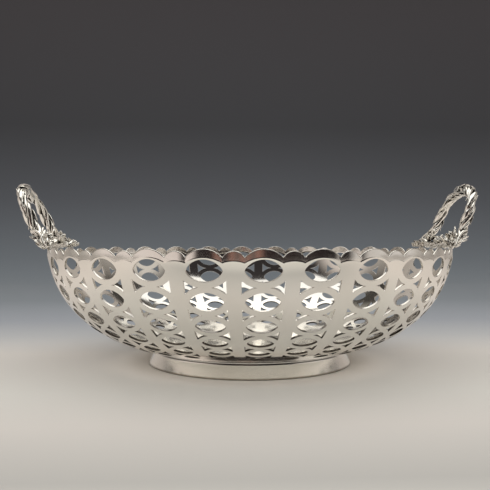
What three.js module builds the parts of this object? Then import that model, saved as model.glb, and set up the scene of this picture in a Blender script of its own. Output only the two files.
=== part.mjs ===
// A round pierced silver bowl on a low foot ring, with two cast branch handles standing on its rim.
// Millimetres, +Z up. The foot rests on z = 0, the axis of the bowl is the Z axis, and the handles
// stand at +X and -X.
import * as THREE from "three";

// Bowl
const bowlHeight = 72.7; // table to the tops of the large rim scallops
const rimRadius = 125.8; // outside of the wall at those tops
const underside = 4.4; // table to the lowest point of the bowl's floor
const flareReserve = 26.3; // how far above the rim the side's curve would stand upright
const sideFullness = 2.77; // powers of the side's curve: 2 is an ellipse, more is squarer
const floorFullness = 2.83;
const sheet = 1.1; // thickness of the raised sheet

// Rim scallops: a large one over each column of openings and a small one over each rib
const panelCount = 28;
const largeScallop = 17.9; // width from cusp to cusp
const largeScallopRise = 4.0; // height above the cusps
const smallScallopRise = 3.0;

// Piercing
const rowCount = 6;
const firstRowDrop = 10.4; // rim top to the middle of the first row, along the wall
const rowStepShare = 0.585; // step from row to row, in widths of a panel
const ovalHeightTop = 0.393; // height of an oval in the first row, in widths of a panel
const ovalHeightBottom = 0.325; // and in the last row
const ovalRoundness = 1.4; // 1 is an ellipse, 2 is a lens with sharp ends
const tipBridgeTop = 10.1; // metal between the ends of neighbouring ovals, in the first row
const tipBridgeBottom = 8.6;
const ribTop = 7.1; // width of the plain ribs at the first row
const ribBottom = 5.9;
const waistShare = 0.22; // metal between two side openings, in widths of a panel
const sideReach = 0.032; // how far a side opening passes the ovals above and below it
const sideBulge = 0.028; // how far the rings round the ovals bulge into a side opening
const floorMargin = 0.12; // last row to the plain floor, in widths of a panel

// Foot
const footRadius = 64.3; // outside of the foot at the table
const footSpread = 3.9; // how much further out the foot stands there than under the bowl
const footBend = 0.9; // share of that spread, and of the height, at which the side bends inwards
const footBendRise = 0.7;
const footCollar = 0.8; // upright band at the top, under the bowl
const footWall = 1.6;
const footEdge = 0.6; // rounding of the foot's lower edge
const seam = 0.3; // clearance between soldered pieces

// Handles
const handleLean = THREE.MathUtils.degToRad(26); // outwards from upright
const limbSpread = 25.6; // middle of the loop to the middle of a limb
const loopRise = 41.6; // rim to the middle of the branches at the top of the loop
const limbBaseRise = 15; // below this the loop bends back to follow the round rim
const limbToe = 6.2; // how far the foot of a limb spreads along the rim
const toeRise = 0.2; // how far the loop has risen at the toe's end, in toes
const heelShare = 0.35; // share of the toe that is left where the loop has risen by one toe
const limbBends = [[0.1, 0.42], [-0.25, 0.66]]; // up a limb: toes beyond the spread, shares of the rise
const crownBends = [[0.68, 0.87], [0.36, 0.975]]; // over the crown: shares of the spread and of the rise
const tailOver = 2.4; // how far a branch's tail passes the top of the small scallop that it lies on
const strandRadius = 1.9;
const strandOffset = 2.3; // middle of the loop's branch pair to the middle of each strand
const strandTurns = 4.5; // turns that the pair makes round each other, over the loop
const tailRadius = 1.3;
const tailLength = 15; // how far a strand runs on alone along the rim
const tailJoin = [0.55, 1.5]; // where a tail thickens into the twisted pair, in its lengths
const rimBranchRadius = 2.2;
const rimBranchOver = 1; // how far the ends of that branch pass under the limbs
const rimBranchTaper = 0.45; // how much thinner the ends of that branch are
const knotSwell = 0.08; // how much thicker it is at its knots
const knotCount = 4;
const spurLength = 7.5; // pointed spurs standing on the rim branch
const spurRadius = 1.2;
const spurTaper = 0.55;
const spurPlace = 9; // middle of the loop to a spur
const frontSpurTilt = 0.15; // how far the spurs' tips lean aside, in their lengths
const backSpurTilt = -0.1;
const leafLength = 12;
const leafWidth = 4.6;
const leafThickness = 1.1;
const leafLift = 1.2; // how far a leaf's tip stands off the branch
const leafBelly = 0.8; // power that sets where a leaf is widest: 1 is halfway along

// Fineness of the facets
const ovalSteps = [4, 4, 3, 3, 3, 2]; // from tip to tip of the ovals in each row
const scallopSteps = 4;
const scallopShoulder = 0.32; // a small scallop's point beside its top, in its widths
const floorRings = [0, 0.35, 0.7]; // between the plain floor's edge and the axis
const edgeBow = 0.05; // how far a panel's edges bow inwards while it is cut into triangles
const footSegments = 2 * panelCount;
const footSideSteps = 5;
const strandSides = 7;
const strandRings = 36;
const rimBranchRings = 12;
const leafStations = [0.14, 0.36, 0.62, 0.85]; // shares of a leaf's length
const spurStations = [0, 0.45, 0.8];
const spurSides = 6;
const curveSamples = 600;

const silver = new THREE.MeshStandardMaterial({ color: 0xd6d2c8, metalness: 1, roughness: 0.16 });
const castSilver = new THREE.MeshStandardMaterial({ color: 0xcfc9ba, metalness: 1, roughness: 0.28 });

const panelAngle = (2 * Math.PI) / panelCount;
const mix = THREE.MathUtils.lerp;

// The outside of the bowl, from the rim down to the axis, as a list of points with their distance
// along the curve and the direction that faces out of the metal.
function bowlCurve() {
  const upright = bowlHeight + flareReserve;
  const depth = upright - underside;
  const rimTurn = Math.acos((flareReserve / depth) ** (floorFullness / 2));
  const reach = rimRadius / Math.sin(rimTurn) ** (2 / sideFullness);
  const points = [];
  for (let k = 0; k <= curveSamples; k++) {
    const turn = rimTurn * (1 - k / curveSamples);
    const r = reach * Math.sin(turn) ** (2 / sideFullness);
    const z = upright - depth * Math.cos(turn) ** (2 / floorFullness);
    points.push(new THREE.Vector2(r, z));
  }
  const drops = [0];
  for (let k = 1; k <= curveSamples; k++) {
    drops.push(drops[k - 1] + points[k].distanceTo(points[k - 1]));
  }
  return { points, drops };
}

const wall = bowlCurve();
const wallLength = wall.drops[curveSamples];

// The point of the bowl's outside that lies `drop` below the rim along the wall, and its normal.
function wallAt(drop) {
  const last = curveSamples;
  let low = 0;
  let high = last;
  while (high - low > 1) {
    const middle = (low + high) >> 1;
    if (wall.drops[middle] > drop) {
      high = middle;
    } else {
      low = middle;
    }
  }
  const share = (drop - wall.drops[low]) / (wall.drops[high] - wall.drops[low]);
  const point = wall.points[low].clone().lerp(wall.points[high], share);
  const along = wall.points[high].clone().sub(wall.points[low]).normalize();
  const normal = drop >= wallLength ? new THREE.Vector2(0, -1) : new THREE.Vector2(-along.y, along.x);
  return { r: Math.max(point.x, 0), z: point.y, normal };
}

// How far down the wall the bowl's outside has the radius r.
function dropAtRadius(r) {
  let low = 0;
  let high = wallLength;
  for (let k = 0; k < 50; k++) {
    const middle = (low + high) / 2;
    if (wallAt(middle).r > r) {
      low = middle;
    } else {
      high = middle;
    }
  }
  return low;
}

const panelWidth = (drop) => wallAt(drop).r * panelAngle;

// A point of the bowl: x across a panel in millimetres, drop down the wall, and how deep in the sheet.
function bowlPoint(panel, x, drop, inset) {
  const { r, z, normal } = wallAt(drop);
  const angle = panelAngle * panel + (r > 0 ? x / r : 0);
  const radius = r - normal.x * inset;
  return new THREE.Vector3(radius * Math.cos(angle), radius * Math.sin(angle), z - normal.y * inset);
}

// The rows of ovals: where each lies, and how large its ovals are.
function ovalRows() {
  const rows = [];
  let drop = firstRowDrop;
  for (let k = 0; k < rowCount; k++) {
    const share = rowCount > 1 ? k / (rowCount - 1) : 0;
    const width = panelWidth(drop);
    rows.push({
      drop,
      width,
      halfWidth: (width - mix(tipBridgeTop, tipBridgeBottom, share)) / 2,
      halfHeight: (width * mix(ovalHeightTop, ovalHeightBottom, share)) / 2,
      rib: mix(ribTop, ribBottom, share),
    });
    const guess = drop + rowStepShare * width;
    drop += (rowStepShare * (width + panelWidth(guess))) / 2;
  }
  return rows;
}

const rows = ovalRows();

// The outline of an oval: along its bottom from the right tip to the left one, and back over its top.
function oval(row, steps) {
  const outline = [];
  for (let k = 0; k < 2 * steps; k++) {
    const turn = (Math.PI * k) / steps;
    const rise = Math.sign(Math.sin(turn)) * Math.abs(Math.sin(turn)) ** ovalRoundness;
    outline.push(new THREE.Vector2(row.halfWidth * Math.cos(turn), row.drop + row.halfHeight * rise));
  }
  return outline;
}

// The three-sided opening beside the waist between two rows, on one side of the panel: a straight
// side along the rib, and two sides that follow the rings round the ovals.
function sideOpening(upper, lower, side, bends) {
  const width = (upper.width + lower.width) / 2;
  const top = upper.drop + upper.halfHeight - sideReach * width;
  const bottom = lower.drop - lower.halfHeight + sideReach * width;
  const middle = (top + bottom) / 2;
  const rib = (upper.rib + lower.rib) / 4;
  const corners = [
    new THREE.Vector2(panelWidth(top) / 2 - rib, top),
    new THREE.Vector2(panelWidth(bottom) / 2 - rib, bottom),
    new THREE.Vector2((waistShare * width) / 2, middle),
  ];
  const outline = [corners[0], corners[1]];
  if (bends) {
    outline.push(corners[1].clone().lerp(corners[2], 0.5).add(new THREE.Vector2(0, -sideBulge * width)));
  }
  outline.push(corners[2]);
  if (bends) {
    outline.push(corners[2].clone().lerp(corners[0], 0.5).add(new THREE.Vector2(0, sideBulge * width)));
  }
  return outline.map((point) => new THREE.Vector2(side * point.x, point.y));
}

// How far above its ends an arc of a circle stands, at x from its middle.
function arcRise(x, width, rise) {
  const radius = (width * width) / (8 * rise) + rise / 2;
  return Math.sqrt(Math.max(radius * radius - x * x, 0)) - radius + rise;
}

// The rim of one panel, from the top of one small scallop to the top of the next.
function rimOutline() {
  const pitch = panelWidth(0);
  const smallScallop = pitch - largeScallop;
  const outline = [];
  const smallPoint = (x) => {
    const rise = arcRise(x, smallScallop, smallScallopRise);
    return largeScallopRise - rise;
  };
  const shoulder = smallScallop * scallopShoulder;
  outline.push(new THREE.Vector2(-pitch / 2, smallPoint(0)));
  outline.push(new THREE.Vector2(-pitch / 2 + shoulder, smallPoint(shoulder)));
  for (let k = 0; k <= scallopSteps; k++) {
    const x = largeScallop * (k / scallopSteps - 0.5);
    outline.push(new THREE.Vector2(x, largeScallopRise - arcRise(x, largeScallop, largeScallopRise)));
  }
  outline.push(new THREE.Vector2(pitch / 2 - shoulder, smallPoint(shoulder)));
  outline.push(new THREE.Vector2(pitch / 2, smallPoint(0)));
  return outline.map((point) => new THREE.Vector2((point.x * panelWidth(point.y)) / pitch, point.y));
}

const lastRow = rows[rowCount - 1];
const plainDrop = lastRow.drop + lastRow.halfHeight + floorMargin * lastRow.width;

// Collects triangles given as points, and turns them into one indexed closed geometry.
class Skin {
  constructor() {
    this.positions = [];
  }

  triangle(a, b, c) {
    this.positions.push(a, b, c);
  }

  quad(a, b, c, d) {
    this.triangle(a, b, c);
    this.triangle(a, c, d);
  }

  // The faces all turn the same way, so a negative volume means that they all face inwards.
  geometry() {
    const p = this.positions;
    let volume = 0;
    for (let k = 0; k < p.length; k += 3) {
      volume += p[k].dot(new THREE.Vector3().crossVectors(p[k + 1], p[k + 2]));
    }
    const ordered = volume < 0 ? p.slice().reverse() : p;
    const geometry = new THREE.BufferGeometry().setFromPoints(ordered);
    geometry.computeVertexNormals();
    return geometry;
  }
}

// One panel, cut into bands at the tips of its ovals, so that every triangle is short and stays close
// to the curve of the wall. Each band has its outline and the side openings that lie in it.
function panelBands(ovals) {
  const edges = (drop, points) => {
    const half = panelWidth(drop) / 2;
    return [new THREE.Vector2(-half, drop), ...points, new THREE.Vector2(half, drop)];
  };
  const bands = [];
  for (let k = 0; k <= rowCount; k++) {
    let upper = rimOutline();
    if (k > 0) {
      const above = ovals[k - 1];
      upper = edges(rows[k - 1].drop, above.slice(0, above.length / 2 + 1).reverse());
    }
    let lower = edges(plainDrop, [new THREE.Vector2(0, plainDrop)]);
    if (k < rowCount) {
      const below = ovals[k];
      lower = edges(rows[k].drop, [...below.slice(below.length / 2), below[0]]);
    }
    const middle = (upper[0].y + lower[0].y) / 2;
    const [left, right] = edges(middle, []);
    const openings = [];
    if (k > 0 && k < rowCount) {
      openings.push(sideOpening(rows[k - 1], rows[k], 1, k === 1));
      openings.push(sideOpening(rows[k - 1], rows[k], -1, k === 1));
    }
    bands.push({ contour: [...upper, right, ...lower.reverse(), left], openings });
  }
  return bands;
}

// A band is cut into triangles as a strip of one width whose edges bow inwards a little, so that no
// triangle can leave out a point of an edge.
function straightened(outline) {
  return outline.map((point) => {
    const across = point.x / panelWidth(point.y);
    const down = point.y / plainDrop;
    const bow = 1 + edgeBow * (down - 0.5) ** 2;
    return new THREE.Vector2(across * bow, (down + edgeBow * across ** 2) * (plainDrop / panelWidth(0)));
  });
}

// The two skins of a band, as triangles of points that lie flat on the panel.
function bandFaces({ contour, openings }) {
  const points = [contour, ...openings].flat();
  const flat = straightened(points);
  const faces = THREE.ShapeUtils.triangulateShape(straightened(contour), openings.map(straightened));
  return faces.map(([a, b, c]) => {
    const turn = (flat[b].x - flat[a].x) * (flat[c].y - flat[a].y)
      - (flat[c].x - flat[a].x) * (flat[b].y - flat[a].y);
    return turn > 0 ? [points[a], points[b], points[c]] : [points[a], points[c], points[b]];
  });
}

function piercedBowl() {
  const skin = new Skin();
  const rim = rimOutline();
  const ovals = rows.map((row, k) => oval(row, ovalSteps[Math.min(k, ovalSteps.length - 1)]));
  const bands = panelBands(ovals);
  const faces = bands.flatMap(bandFaces);
  const holes = [...ovals, ...bands.flatMap((band) => band.openings)];
  for (let panel = 0; panel < panelCount; panel++) {
    const outer = (v) => bowlPoint(panel, v.x, v.y, 0);
    const inner = (v) => bowlPoint(panel, v.x, v.y, sheet);
    for (const [a, b, c] of faces) {
      skin.triangle(outer(a), outer(b), outer(c));
      skin.triangle(inner(a), inner(c), inner(b));
    }
    for (let k = 0; k + 1 < rim.length; k++) {
      skin.quad(outer(rim[k]), inner(rim[k]), inner(rim[k + 1]), outer(rim[k + 1]));
    }
    for (const hole of holes) {
      const ccw = THREE.ShapeUtils.isClockWise(hole) ? hole.slice().reverse() : hole;
      ccw.forEach((point, k) => {
        const next = ccw[(k + 1) % ccw.length];
        skin.quad(outer(point), outer(next), inner(next), inner(point));
      });
    }
    plainFloor(skin, panel);
  }
  return skin.geometry();
}

// The unpierced floor of one panel, from the last row down to the axis.
function plainFloor(skin, panel) {
  const span = wallLength - plainDrop;
  const rings = floorRings.map((share) => plainDrop + span * share);
  for (const inset of [0, sheet]) {
    const at = (share, drop) => bowlPoint(panel, share * panelWidth(drop), drop, inset);
    const add = (a, b, c) => (inset ? skin.triangle(a, c, b) : skin.triangle(a, b, c));
    for (const start of [-0.5, 0]) {
      for (let k = 0; k + 1 < rings.length; k++) {
        const a = at(start, rings[k]);
        const b = at(start + 0.5, rings[k]);
        const c = at(start + 0.5, rings[k + 1]);
        const d = at(start, rings[k + 1]);
        add(a, b, c);
        add(a, c, d);
      }
      const last = rings[rings.length - 1];
      add(at(start, last), at(start + 0.5, last), at(0, wallLength));
    }
  }
}

// The foot: a band with a rounded shoulder and an upright collar, seated just under the bowl.
function footRing() {
  const underBowl = (r) => wallAt(dropAtRadius(r)).z - seam;
  const topRadius = footRadius - footSpread;
  const inside = topRadius - footWall;
  const shoulder = underBowl(topRadius) - footCollar;
  const bend = mix(topRadius, footRadius, footBend);
  const side = new THREE.QuadraticBezierCurve(
    new THREE.Vector2(footRadius, footEdge),
    new THREE.Vector2(bend, shoulder * footBendRise),
    new THREE.Vector2(topRadius, shoulder),
  );
  const profile = [
    new THREE.Vector2(footRadius - footEdge, 0),
    ...side.getPoints(footSideSteps),
    new THREE.Vector2(topRadius, underBowl(topRadius)),
    new THREE.Vector2(inside, underBowl(inside)),
    new THREE.Vector2(inside, shoulder - footWall),
    new THREE.Vector2(bend - footWall, shoulder * footBendRise - footWall),
    new THREE.Vector2(footRadius - footWall - footEdge, 0),
  ];
  profile.push(profile[0].clone());
  return new THREE.LatheGeometry(profile, footSegments).rotateX(Math.PI / 2);
}

// A place on a handle: w across it, v up its leaning plane from the rim, n out of that plane.
// Low down the plane bends back, so that the branches follow the round rim.
function handlePoint(w, v, n) {
  const bend = 1 - THREE.MathUtils.smoothstep(v, 0, limbBaseRise);
  const sag = rimRadius - Math.sqrt(rimRadius ** 2 - Math.min(w ** 2, rimRadius ** 2));
  const x = rimRadius - sheet / 2 - sag * bend + v * Math.sin(handleLean) + n * Math.cos(handleLean);
  const z = bowlHeight + v * Math.cos(handleLean) - n * Math.sin(handleLean);
  return new THREE.Vector3(x, w, z);
}

const pairRadius = strandOffset + strandRadius;

// The middle line of the pair of branches: along the rim, up a limb, over the top and down again.
// Its tails lie on the second small scallop on either side of the handle.
function loopPath() {
  const lift = pairRadius + seam;
  const tailSeat = rimRadius * Math.sin(1.5 * panelAngle);
  const tailRise = (tailRadius + seam + smallScallopRise - largeScallopRise) / Math.cos(handleLean);
  const half = [
    [tailSeat + tailOver, tailRise],
    [tailSeat - tailOver, tailRise + seam],
    [limbSpread + limbToe, lift + limbToe * toeRise],
    [limbSpread + limbToe * heelShare, lift + limbToe],
    ...limbBends.map(([toes, rise]) => [limbSpread + limbToe * toes, loopRise * rise]),
    ...crownBends.map(([spread, rise]) => [limbSpread * spread, loopRise * rise]),
  ];
  const points = [
    ...half.map(([w, v]) => new THREE.Vector3(-w, v, 0)),
    new THREE.Vector3(0, loopRise, 0),
    ...half.reverse().map(([w, v]) => new THREE.Vector3(w, v, 0)),
  ];
  return new THREE.CatmullRomCurve3(points, false, "centripetal");
}

const path = loopPath();
const pathLength = path.getLength();

// A point beside that line: share is 0 to 1 along it, and angle 0 faces out of the loop.
function besidePath(share, angle, distance) {
  const centre = path.getPointAt(share);
  const along = path.getTangentAt(share);
  const w = centre.x - along.y * distance * Math.cos(angle);
  const v = centre.y + along.x * distance * Math.cos(angle);
  return [w, v, distance * Math.sin(angle)];
}

// The angle round the pair at which a strand lies, at a share of the path.
const strandAngle = (index, share) => 2 * Math.PI * strandTurns * share + Math.PI * index;

// A closed solid through rings of points, with a flat or pointed end at each end.
function loft(rings, startTip, endTip) {
  const skin = new Skin();
  const count = rings[0].length;
  for (let k = 0; k + 1 < rings.length; k++) {
    for (let j = 0; j < count; j++) {
      const next = (j + 1) % count;
      skin.quad(rings[k][j], rings[k][next], rings[k + 1][next], rings[k + 1][j]);
    }
  }
  const first = rings[0];
  const last = rings[rings.length - 1];
  const start = startTip || centreOf(first);
  const end = endTip || centreOf(last);
  for (let j = 0; j < count; j++) {
    const next = (j + 1) % count;
    skin.triangle(start, first[next], first[j]);
    skin.triangle(end, last[j], last[next]);
  }
  return skin.geometry();
}

function centreOf(ring) {
  const sum = new THREE.Vector3();
  ring.forEach((point) => sum.add(point));
  return sum.divideScalar(ring.length);
}

// One of the two twisted strands of a handle. The first runs on as a tail along the rim at its
// start, and the second at its end, and each stops short of the other's tail.
function strand(index) {
  const tail = tailLength / pathLength;
  const from = index === 0 ? 0 : tail;
  const to = index === 0 ? 1 - tail : 1;
  const rings = [];
  for (let k = 0; k <= strandRings; k++) {
    const share = mix(from, to, k / strandRings);
    const fromTail = index === 0 ? share : 1 - share;
    const full = THREE.MathUtils.smoothstep(fromTail, tail * tailJoin[0], tail * tailJoin[1]);
    const offset = strandOffset * full;
    const radius = mix(tailRadius, strandRadius, full);
    const [w, v, n] = besidePath(share, strandAngle(index, share), offset);
    const along = path.getTangentAt(share);
    const ring = [];
    for (let j = 0; j < strandSides; j++) {
      const round = (2 * Math.PI * j) / strandSides;
      const across = radius * Math.cos(round);
      ring.push(handlePoint(w - along.y * across, v + along.x * across, n + radius * Math.sin(round)));
    }
    rings.push(ring);
  }
  return loft(rings);
}

// A pointed leaf that lies along the outside of a strand: it starts where the strand has made a
// given count of turns, and grows forwards or backwards.
function leaf(index, turns, direction, size) {
  const start = (turns - index / 2) / strandTurns;
  const length = (leafLength * size) / pathLength;
  const base = pairRadius + seam + leafThickness / 2;
  const place = (tau, sideways, lift) => {
    const share = start + direction * length * tau;
    const distance = base + leafLift * tau * tau + lift;
    return handlePoint(...besidePath(share, strandAngle(index, share) + sideways / distance, distance));
  };
  const rings = leafStations.map((tau) => {
    // The side that comes first changes with the direction, so that the leaf's twisted facets fold
    // outwards either way.
    const half = (-direction * leafWidth * size * Math.sin(Math.PI * tau ** leafBelly)) / 2;
    const thick = leafThickness * Math.sin(Math.PI * tau);
    return [place(tau, -half, 0), place(tau, 0, thick / 2), place(tau, half, 0), place(tau, 0, -thick / 2)];
  });
  return loft(rings, place(0, 0, 0), place(1, 0, 0));
}

// The branch that lies along the rim between the two limbs, just clear of it at its knots.
const rimBranchFull = rimBranchRadius * (1 + knotSwell);
const rimBranchRise = rimBranchFull + seam;

function rimBranch() {
  const reach = limbSpread + rimBranchOver - pairRadius;
  const rings = [];
  for (let k = 0; k <= rimBranchRings; k++) {
    const share = k / rimBranchRings;
    const w = mix(-reach, reach, share);
    const taper = 1 - rimBranchTaper * (1 - Math.sqrt(Math.sin(Math.PI * share)));
    const knots = knotSwell * Math.sin(2 * Math.PI * knotCount * share);
    const radius = rimBranchRadius * (taper + knots);
    const ring = [];
    for (let j = 0; j < strandSides; j++) {
      const round = (2 * Math.PI * j) / strandSides;
      ring.push(handlePoint(w, rimBranchRise + radius * Math.sin(round), radius * Math.cos(round)));
    }
    rings.push(ring);
  }
  return loft(rings);
}

// A pointed spur standing on the rim branch, up into the loop.
function spur(place, tilt) {
  const foot = rimBranchRise + rimBranchFull + seam;
  const rings = spurStations.map((share) => {
    const radius = spurRadius * (1 - spurTaper * share);
    const ring = [];
    for (let j = 0; j < spurSides; j++) {
      const round = (2 * Math.PI * j) / spurSides;
      const w = place + tilt * share * spurLength + radius * Math.cos(round);
      ring.push(handlePoint(w, foot + spurLength * share, radius * Math.sin(round)));
    }
    return ring;
  });
  return loft(rings, null, handlePoint(place + tilt * spurLength, foot + spurLength, 0));
}

// The leaves of a handle: the strand that each lies on, the turns that the strand has made there,
// the way that the leaf grows, and its size.
const leafPlaces = {
  crown_leaf_front: [0, 2, -1, 1.0],
  crown_leaf_back: [1, 3, 1, 1.0],
  crown_leaf_outer: [0, 2.25, 1, 0.9],
  crown_leaf_inner: [1, 2.75, -1, 0.9],
  limb_leaf_front: [1, 2, 1, 0.7],
  limb_leaf_back: [0, 3, -1, 0.7],
  foot_leaf_front: [0, 1, 1, 0.8],
  foot_leaf_back: [1, 4, -1, 0.8],
};

function named(name, geometry, material) {
  const mesh = new THREE.Mesh(geometry, material);
  mesh.name = name;
  return mesh;
}

function handle(side) {
  const group = new THREE.Group();
  group.add(named(`${side}_handle_first_branch`, strand(0), castSilver));
  group.add(named(`${side}_handle_second_branch`, strand(1), castSilver));
  group.add(named(`${side}_handle_rim_branch`, rimBranch(), castSilver));
  group.add(named(`${side}_handle_spur_front`, spur(-spurPlace, frontSpurTilt), castSilver));
  group.add(named(`${side}_handle_spur_back`, spur(spurPlace, backSpurTilt), castSilver));
  for (const [name, values] of Object.entries(leafPlaces)) {
    group.add(named(`${side}_handle_${name}`, leaf(...values), castSilver));
  }
  return group;
}

const bowl = new THREE.Group();
bowl.add(named("pierced_bowl", piercedBowl(), silver));
bowl.add(named("foot_ring", footRing(), silver));
bowl.add(handle("right"));
const leftHandle = handle("left");
leftHandle.rotation.z = Math.PI;
bowl.add(leftHandle);

export default bowl;
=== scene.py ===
"""A round pierced silver bowl on a low foot ring, with two cast branch handles on its rim.

Metres, +Z up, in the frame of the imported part: the foot rests on z = 0, the bowl's axis is the
Z axis, and the handles stand at +X and -X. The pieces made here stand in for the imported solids.
"""

import math

import bpy
import numpy as np
from mathutils import Matrix, Vector
from mathutils.geometry import delaunay_2d_cdt


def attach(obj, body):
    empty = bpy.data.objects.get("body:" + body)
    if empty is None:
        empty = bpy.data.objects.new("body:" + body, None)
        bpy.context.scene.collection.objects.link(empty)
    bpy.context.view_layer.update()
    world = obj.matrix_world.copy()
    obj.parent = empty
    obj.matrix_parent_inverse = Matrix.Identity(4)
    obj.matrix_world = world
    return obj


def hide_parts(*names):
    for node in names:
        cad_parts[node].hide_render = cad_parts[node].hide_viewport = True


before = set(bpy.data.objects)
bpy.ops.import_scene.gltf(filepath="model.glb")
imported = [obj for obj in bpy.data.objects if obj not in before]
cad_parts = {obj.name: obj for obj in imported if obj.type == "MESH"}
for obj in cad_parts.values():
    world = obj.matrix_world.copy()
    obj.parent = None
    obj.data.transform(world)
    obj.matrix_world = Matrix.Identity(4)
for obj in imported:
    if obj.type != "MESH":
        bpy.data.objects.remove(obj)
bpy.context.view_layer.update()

# Bowl: the same driving dimensions as the part's
BOWL_HEIGHT = 0.0727
RIM_RADIUS = 0.1258
UNDERSIDE = 0.0044
FLARE_RESERVE = 0.0263
SIDE_FULLNESS = 2.77
FLOOR_FULLNESS = 2.83
SHEET = 0.0011

# Rim scallops
PANEL_COUNT = 28
LARGE_SCALLOP = 0.0179
LARGE_SCALLOP_RISE = 0.0040
SMALL_SCALLOP_RISE = 0.0030

# Piercing
ROW_COUNT = 6
FIRST_ROW_DROP = 0.0104
ROW_STEP_SHARE = 0.585
OVAL_HEIGHT = (0.393, 0.325)  # first and last row, in widths of a panel
OVAL_ROUNDNESS = 1.4
TIP_BRIDGE = (0.0101, 0.0086)  # first and last row
RIB = (0.0071, 0.0059)
WAIST_SHARE = 0.22
SIDE_REACH = 0.032
SIDE_BULGE = 0.028
FLOOR_MARGIN = 0.12

# Border under the scallops: a band set back from the wall, a little steeper than it
BORDER_DROP = 0.0067  # rim top to the border's lower line below the cusps
BORDER_LARGE_RISE = 0.0025  # how far that line rises over an opening
BORDER_SMALL_RISE = 0.0009  # and over a rib
BORDER_STEP = 0.00016  # how far the band is set back at that line
BORDER_CHAMFER = 0.0004  # height over which it steps back
BORDER_SLOPE = 0.155  # how much steeper than the wall the band stands

# Edges
EDGE_ROUNDING = 0.00012  # of the openings
RIM_ROUNDING = 0.00050

# Foot
FOOT_RADIUS = 0.0643
FOOT_SPREAD = 0.0039
FOOT_BEND = 0.5
FOOT_BEND_RISE = 0.5
FOOT_COLLAR = 0.0008
FOOT_WALL = 0.0016
FOOT_EDGE = 0.0006

# Handles
HANDLE_LEAN = {"right": math.radians(22.5), "left": math.radians(26)}
HANDLE_TWIST = {"right": 0.0, "left": math.radians(3.5)}  # out of the rim's tangent
LIMB_SPREAD = 0.0256
LOOP_RISE = 0.0405
LIMB_BASE_RISE = 0.015
LIMB_TOE = 0.0062
TAIL_OVER = 0.0024
STRAND_RADIUS = 0.0019
STRAND_OFFSET = 0.0023
STRAND_TURNS = 4.5
SLIMMING = 0.78  # how far apart the photographed strands are, as a share of the solids'
STRAND_THINNING = 0.70  # and their radius
TAIL_RADIUS = 0.0013
TAIL_THINNING = 0.8
TAIL_LENGTH = 0.015
TAIL_TRIM = 0.0058  # how much sooner the photographed tails end than the solids'
RIM_BRANCH_RADIUS = 0.0022
SPUR_LENGTH = 0.0075
SPUR_PLACE = 0.009
LEAF_THICKNESS = 0.0011
LEAF_VEIN = 0.00035
SEAM = 0.0003

# Carving that only the scene has: vines, thorns, buds, twigs and small leaves
VINE_RADIUS = 0.0008
VINE_REACH = (0.16, 0.84)  # shares of the loop
VINE_SEAT = (0.95, 1.2)  # on the first and the second strand, in shares of their offset
THORN_RADIUS = 0.0008
LEAF_SEAT = STRAND_OFFSET * SLIMMING + STRAND_RADIUS * 0.58
LEAF_LIFT = 0.0009  # how far a wrapped leaf's point stands off
RIM_TWIG_RADIUS = 0.00125
RIM_TWIG_WAVE = (0.0009, 0.0010)  # up and down, and in and out
BUD_STALK = 0.0007
BUD_SWELL = 0.0010
BRANCH_LEAF_COUNT = 7
BRANCH_LEAF = (0.0060, 0.0034, 0.0012)  # length, width and curl
FOLIAGE_COUNT = 52
FOLIAGE_LEAF = (0.0044, 0.0029, 0.0008)
FOLIAGE_LEAF_GROWTH = 0.0016  # how much longer the longest leaves are
FOLIAGE_STEM_RADIUS = 0.0008
FOLIAGE_TOP = [(-0.0080, 0.0065), (-0.0010, 0.0125), (0.0042, 0.0122)]  # from the limb, outwards and up
FOLIAGE_END = [(-0.0040, 0.0078), (-0.0005, 0.0010)]  # from the tail's end, outwards and up

# Camera, as fitted to the photograph
CAMERA_PLACE = (-0.0221, -0.4188, 0.0750)
CAMERA_TURN = math.radians(2.604)
CAMERA_DIP = math.radians(0.103)
CAMERA_LENS = 47.73

# Fineness of the meshes
CURVE_SAMPLES = 1500
OVAL_SAMPLES = 90  # of half an opening, before it is cut into equal steps
OVAL_STEPS = 44
LEAST_OVAL_STEP = 0.00045
SIDE_STEP = 0.0028
RIB_STEP = 0.0012
LARGE_SCALLOP_POINTS = 19
SMALL_SCALLOP_POINTS = 6  # from a rib to the cusp
GRID_STEP = 0.0023
GRID_TOP = 0.0005
GRID_ROW_SHARE = 0.87  # distance between its rows, in steps
GRID_TO_EDGE = 0.0008  # least distance between its points and a cut edge
GRID_TO_BORDER = 0.0007
BORDER_TO_EDGE = 0.00025
BORDER_POINTS = 45
BORDER_LINES = (-0.0003, -0.0001, 0.0001, 0.00025, 0.0004, 0.0006)  # heights over its lower line
PANEL_SIDE_TOP = 0.009  # drop at which the even steps down a panel's sides begin
PANEL_SIDE_STEP = 0.0022
FLOOR_POINTS = 7
FLOOR_RINGS = 30
FOOT_SEGMENTS = 224
TO_MILLIMETRES = 1000

PANEL_ANGLE = 2 * math.pi / PANEL_COUNT
TAIL_SEAT = RIM_RADIUS * math.sin(1.5 * PANEL_ANGLE)  # the crest that a handle's tails rest on
TURN_ROUND = Matrix.Rotation(math.pi, 4, "Z")


def mix(a, b, share):
    return a + (b - a) * share


def smoothstep(value, low, high):
    share = np.clip((value - low) / (high - low), 0, 1)
    return share * share * (3 - 2 * share)


def unit(vectors):
    return vectors / np.maximum(np.linalg.norm(vectors, axis=-1, keepdims=True), 1e-12)


def columns(*values):
    """Points whose coordinates are the values, numbers or lists of them."""
    return np.stack(np.broadcast_arrays(*values), axis=-1)


def distance_along(line):
    return np.concatenate([[0], np.cumsum(np.linalg.norm(np.diff(line, axis=0), axis=1))])


def at_equal_steps(line, count):
    """The same line with that many points, at equal steps."""
    along = distance_along(line)
    at = np.linspace(0, along[-1], count)
    return columns(*[np.interp(at, along, values) for values in line.T])


# The wall of the bowl


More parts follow.
